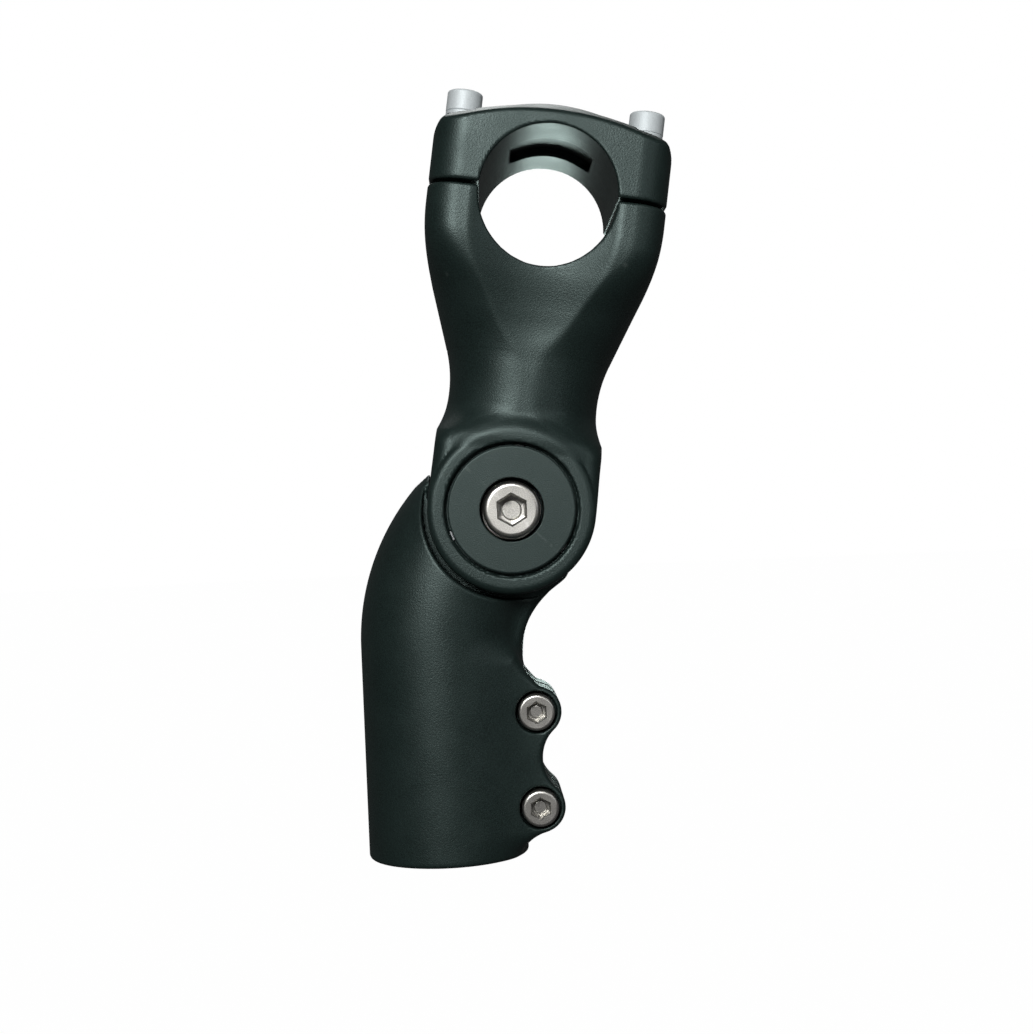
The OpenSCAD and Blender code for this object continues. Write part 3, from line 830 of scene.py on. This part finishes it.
def mix_colour(tree, factor, output, a, b):
    """Colours a and b mixed by another node's output. Each is a colour or a mix node."""
    node = tree.nodes.new("ShaderNodeMix")
    node.data_type = "RGBA"
    wire(tree, factor, output, node, "Factor")
    for value, socket in ((a, 6), (b, 7)):
        if isinstance(value, tuple):
            node.inputs[socket].default_value = (*value, 1)
        else:
            tree.links.new(value.outputs[2], node.inputs[socket])
    return node


def finish_material(name, colour, metallic, roughness, grain_mm, grain_depth_mm, mottle, scuff_glint_colour, scuff_glint_share,
                    tint=(1, 1, 1)):
    """A surface with fine grain, broad colour and gloss variation, and convex edges painted lighter, partly
    as scuffs and partly as a painted highlight along the ridges.
    """
    material = bpy.data.materials.new(name)
    material.use_nodes = True
    tree = material.node_tree
    shader = tree.nodes["Principled BSDF"]
    coords = tree.nodes.new("ShaderNodeTexCoord")
    fine = noise(tree, coords, grain_mm, 3)
    broad = noise(tree, coords, 9, 3)
    dark = tuple(c * (1 - mottle) for c in colour)
    light = tuple(c * (1 + mottle) for c in colour)
    base = mix_colour(tree, remap(tree, fine, "Fac", 0.35, 0.65, 0, 1), "Result", dark, light)
    base = mix_colour(tree, remap(tree, broad, "Fac", 0.3, 0.7, 0, 0.35), "Result", base, light)
    geometry = tree.nodes.new("ShaderNodeNewGeometry")
    # Convex edges are painted lighter: partly scuffed edges, partly a painted highlight standing in for the
    # glint along ridges.
    edge = remap(tree, geometry, "Pointiness", 0.52, 0.62, 0, scuff_glint_share)
    scuff_glint = tree.nodes.new("ShaderNodeMath")
    scuff_glint.operation = "MULTIPLY"
    wire(tree, edge, "Result", scuff_glint, 0)
    wire(tree, remap(tree, noise(tree, coords, 1.6, 4), "Fac", 0.42, 0.62, 0, 1), "Result", scuff_glint, 1)
    base = mix_colour(tree, scuff_glint, "Value", base, scuff_glint_colour)
    tree.links.new(base.outputs[2], shader.inputs["Base Color"])
    gloss = remap(tree, broad, "Fac", 0.3, 0.7, roughness - 0.04, roughness + 0.04)
    wire(tree, gloss, "Result", shader, "Roughness")
    shader.inputs["Metallic"].default_value = metallic
    shader.inputs["Specular Tint"].default_value = (*tint, 1)
    bump = tree.nodes.new("ShaderNodeBump")
    bump.inputs["Strength"].default_value = 1
    bump.inputs["Distance"].default_value = grain_depth_mm * MM
    wire(tree, fine, "Fac", bump, "Height")
    wire(tree, bump, "Normal", shader, "Normal")
    return material


def make_finishes():
    """One material for each slot of the record.

    Each has its colour, metallic, roughness, size and depth of grain in millimetres, share of
    mottling, colour and share of the lighter edges (scuffs and a painted highlight along ridges), and for
    the blacks a tint of their sheen.
    """
    return {
        "black_body": finish_material(
            "black_body", (0.0062, 0.0120, 0.0108), 0, 0.45, 0.34, 0.055, 0.4, (0.04, 0.05, 0.047), 0.5,
            (0.80, 1, 0.96)),
        "black_disc": finish_material(
            "black_disc", (0.0076, 0.0136, 0.0124), 0, 0.5, 0.30, 0.055, 0.4, (0.05, 0.06, 0.056), 0.5,
            (0.80, 1, 0.96)),
        "stainless": finish_material(
            "stainless", (0.47, 0.46, 0.43), 1, 0.36, 0.2, 0.012, 0.35, (0.75, 0.74, 0.72), 0.5),
        "zinc_bolt": finish_material(
            "zinc_bolt", (0.52, 0.56, 0.57), 0.3, 0.6, 0.2, 0.012, 0.12, (0.72, 0.74, 0.75), 0.5),
        "hard_steel": finish_material(
            "hard_steel", (0.36, 0.37, 0.38), 1, 0.34, 0.12, 0.004, 0.15, (0.6, 0.6, 0.6), 0.6),
        "bronze": finish_material(
            "bronze", (0.55, 0.36, 0.16), 1, 0.36, 0.15, 0.004, 0.15, (0.75, 0.55, 0.3), 0.5),
        "nylon": finish_material(
            "nylon", (0.74, 0.73, 0.68), 0, 0.55, 0.3, 0.006, 0.04, (0.82, 0.81, 0.77), 0.3),
    }


FINISHES = make_finishes()
SLOT_OF = {part["node"]: part["material_slot"] for part in RECORD["subparts"]}
BODY_OF = {node: body for body, nodes in RECORD["behaviour"]["bodies"].items() for node in nodes}


def stand_for(obj, node):
    """Gives a piece the finish and body of the CAD node it stands for."""
    obj.data.materials.clear()
    obj.data.materials.append(FINISHES[SLOT_OF[node]])
    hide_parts(node)
    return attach(obj, BODY_OF[node])


# ---- the pieces ----

def add_forged_bodies():
    reach = TUBE_R + 2
    lower = skin("steerer_clamp_skin", steerer_clamp_field,
                 (-reach, -reach, -2), (38, reach, 106), LOWER_STEP)
    stand_for(lower, "steerer_clamp")
    wide, deep = CLAMP_HALF + 2, CLAMP_Y + 2
    arm = skin("extension_arm_skin", extension_arm_field, (-wide, -deep, -EAR_R - 2),
               (wide, deep, ARM_TOP + 2), STEP, arm_matrix())
    stand_for(arm, "extension_arm")
    cap = skin("bar_clamp_cap_skin", bar_clamp_cap_field, (-wide, -deep, CAP_BOTTOM - 2),
               (wide, deep, BAR_A + 28), STEP, arm_matrix())
    stand_for(cap, "bar_clamp_cap")


def add_cap_fasteners():
    for where, b in (("rear", -CAP_BOLT_B), ("front", CAP_BOLT_B)):
        seat = arm_matrix() @ Matrix.Translation((b, 0, CAP_SEAT))
        stand_for(lock_washer(f"cap_washer_{where}_ring", seat), f"cap_washer_{where}")
        seat = seat @ Matrix.Translation((0, 0, WASHER_THICK))
        bolt = socket_bolt(f"cap_bolt_{where}_turned", M5_BOLT, CAP_BOLT_LENGTH, CAP_BOLT_PLAIN, seat)
        stand_for(bolt, f"cap_bolt_{where}")


def add_pinch_fasteners():
    for where, (x, z) in zip(("lower", "upper"), PINCH_POINTS):
        seat = Matrix.Translation((x, PINCH_SEAT_Y, z)) @ Matrix.Rotation(math.radians(90), 4, "X")
        stand_for(lock_washer(f"pinch_washer_{where}_ring", seat), f"pinch_washer_{where}")
        seat = seat @ Matrix.Translation((0, 0, WASHER_THICK))
        bolt = socket_bolt(f"pinch_bolt_{where}_turned", M5_BOLT, PINCH_BOLT_LENGTH, PINCH_BOLT_PLAIN, seat)
        stand_for(bolt, f"pinch_bolt_{where}")


def add_pivot_parts():
    head_y = HEAD_SEAT_Y + WASHER_THICK
    head = out_matrix(-1, False) @ Matrix.Translation((0, 0, head_y))
    bolt = socket_bolt("pivot_bolt_turned", M8_BOLT, head_y + PIVOT_BOLT_END_Y, PIVOT_BOLT_PLAIN, head)
    stand_for(bolt, "pivot_bolt")
    inner_r, outer_r, thick = M8_R + 0.25, HEAD_BORE_R - 0.35, WASHER_THICK - 0.02
    washer = rounded([(inner_r, 0, 0.1), (inner_r, thick, 0.1), (outer_r, thick, 0.15), (outer_r, 0, 0.15)])
    seat = out_matrix(-1, False) @ Matrix.Translation((0, 0, HEAD_SEAT_Y))
    stand_for(lathe("pivot_washer_ring", washer, seat, loop=True), "pivot_washer")
    sides = TOOTH_COUNT * SIDES_PER_TOOTH
    for side, where in ((-1, "near"), (1, "far")):
        disc_piece = lathe(f"lock_disc_{where}_turned", disc_profile(side < 0, sides),
                           out_matrix(side, True), sides, True)
        stand_for(disc_piece, f"lock_disc_{where}")
        ring = lathe(f"tooth_ring_{where}_cut", ring_profile(sides), out_matrix(side, False), sides, True)
        stand_for(ring, f"tooth_ring_{where}")
        keys = dowels(f"disc_keys_{where}_pins", side, True, DISC_BORE_R, 0, EAR_IN_Y + 1, KEY_END_Y - 0.05)
        stand_for(keys, f"disc_keys_{where}")
        pins = dowels(f"ring_dowels_{where}_pins", side, False, RING_R - 0.02, 60,
                      RING_SEAT_Y + 0.02, TONGUE_Y - TOOTH_H - 0.1)
        stand_for(pins, f"ring_dowels_{where}")
        inner_r, outer_r, top = RING_R + 0.78, TONGUE_R - 0.6, TONGUE_Y + 0.5
        thrust = rounded([
            (inner_r, TONGUE_Y, 0.1), (inner_r, top, 0.1), (outer_r, top, 0.1), (outer_r, TONGUE_Y, 0.1)
        ])
        stand_for(lathe(f"thrust_washer_{where}_ring", thrust, out_matrix(side, False), loop=True),
                  f"thrust_washer_{where}")


def add_bush_and_spring():
    half = TONGUE_Y - TOOTH_H
    inner_r, outer_r = HUB_R + 0.05, BUSH_R - 0.02
    bush = rounded([
        (inner_r, -half, 0.2), (inner_r, half, 0.2), (outer_r, half, 0.2), (outer_r, -half, 0.2)
    ])
    stand_for(lathe("pivot_bush_turned", bush, out_matrix(1, False), loop=True), "pivot_bush")
    coil_r = HUB_BORE_R - 0.4 - SPRING_WIRE_R
    around = np.linspace(0, 2 * math.pi, 12, endpoint=False)
    section = [(coil_r + SPRING_WIRE_R * math.cos(t), SPRING_WIRE_R * math.sin(t)) for t in around]
    spring = sweep("release_spring_coil", section, spring_path(), out_matrix(1, False))
    stand_for(spring, "release_spring")
    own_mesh(spring)


add_forged_bodies()
add_cap_fasteners()
add_pinch_fasteners()
add_pivot_parts()
add_bush_and_spring()

# ---- stage, light and camera ----


def pale_material():
    """Pale floor: mostly its own white to the camera, so only soft shadows show on it."""
    material = bpy.data.materials.new("pale_floor")
    material.use_nodes = True
    tree = material.node_tree
    shader = tree.nodes["Principled BSDF"]
    shader.inputs["Base Color"].default_value = (0.6, 0.6, 0.6, 1)
    shader.inputs["Roughness"].default_value = 0.8
    glow = tree.nodes.new("ShaderNodeEmission")
    glow.inputs["Color"].default_value = (1, 1, 1, 1)
    glow.inputs["Strength"].default_value = 1.1
    path = tree.nodes.new("ShaderNodeLightPath")
    share = remap(tree, path, "Is Camera Ray", 0, 1, 0.02, 0.9)
    mix = tree.nodes.new("ShaderNodeMixShader")
    wire(tree, share, "Result", mix, 0)
    wire(tree, shader, "BSDF", mix, 1)
    wire(tree, glow, "Emission", mix, 2)
    wire(tree, mix, "Shader", tree.nodes["Material Output"], "Surface")
    return material


def add_floor():
    """A wide round floor just under the stem."""
    floor = lathe("floor", [(3000.0, -0.05), (5.0, -0.05)], Matrix.Identity(4), 96)
    floor.data.materials.append(pale_material())


def add_light(name, place, size, watts, colour):
    data = bpy.data.lights.new(name, "AREA")
    data.energy = watts
    data.shape = "DISK"
    data.size = size
    data.color = colour
    lamp = bpy.data.objects.new(name, data)
    lamp.location = place
    aim = Vector((0.01, 0, 0.09))
    lamp.rotation_euler = (aim - lamp.location).to_track_quat("-Z", "Y").to_euler()
    bpy.context.scene.collection.objects.link(lamp)
    return lamp


def add_lights():
    """A key above the camera, a weak fill, one for the cap's top and one the bar clamp's bore reflects."""
    add_light("key", (-0.16, -0.75, 0.42), 0.36, 7.5, (1, 1, 1))
    add_light("fill", (0.55, -0.55, 0.35), 0.5, 0.8, (0.96, 0.98, 1))
    add_light("top", (0, 0.7, 0.8), 0.5, 2, (0.97, 1, 0.99))
    behind = add_light("behind", (0.03, 0.45, 0.06), 0.15, 0.45, (0.8, 1, 0.95))
    behind.visible_camera = False


STUDIO_STRENGTH = 0.03, 0.07


def set_world():
    """White to the camera. Pieces reflect a dim studio, a little lighter behind them."""
    world = bpy.data.worlds.new("world")
    world.use_nodes = True
    tree = world.node_tree
    background = tree.nodes["Background"]
    background.inputs["Color"].default_value = (1, 1, 1, 1)
    coords = tree.nodes.new("ShaderNodeTexCoord")
    split = tree.nodes.new("ShaderNodeSeparateXYZ")
    wire(tree, coords, "Generated", split, "Vector")
    studio = remap(tree, split, "Y", -0.2, 0.9, *STUDIO_STRENGTH)
    path = tree.nodes.new("ShaderNodeLightPath")
    strength = tree.nodes.new("ShaderNodeMix")
    wire(tree, path, "Is Camera Ray", strength, 0)
    wire(tree, studio, "Result", strength, 2)
    strength.inputs[3].default_value = 1.0
    wire(tree, strength, "Result", background, "Strength")
    bpy.context.scene.world = world


def add_camera():
    """Almost square on to the stem's near side, a little above its middle."""
    place = Vector((0.0104, -0.380, 0.0756))
    yaw, pitch, roll = math.radians(1.36), math.radians(0.58), math.radians(-2.49)
    ahead = Vector((math.sin(yaw) * math.cos(pitch), math.cos(yaw) * math.cos(pitch), math.sin(pitch)))
    level = ahead.cross(Vector((0, 0, 1))).normalized()
    up = level.cross(ahead)
    right = level * math.cos(roll) + up * math.sin(roll)
    turn = Matrix((right, right.cross(ahead), -ahead)).transposed().to_4x4()
    data = bpy.data.cameras.new("camera")
    data.sensor_fit = "HORIZONTAL"
    data.sensor_width = 36
    data.lens = 55.25
    data.clip_start = 0.01
    data.clip_end = 20
    obj = bpy.data.objects.new("camera", data)
    obj.matrix_world = Matrix.Translation(place) @ turn
    bpy.context.scene.collection.objects.link(obj)
    bpy.context.scene.camera = obj


add_floor()
add_lights()
set_world()
add_camera()
bpy.context.scene.view_settings.view_transform = "Standard"
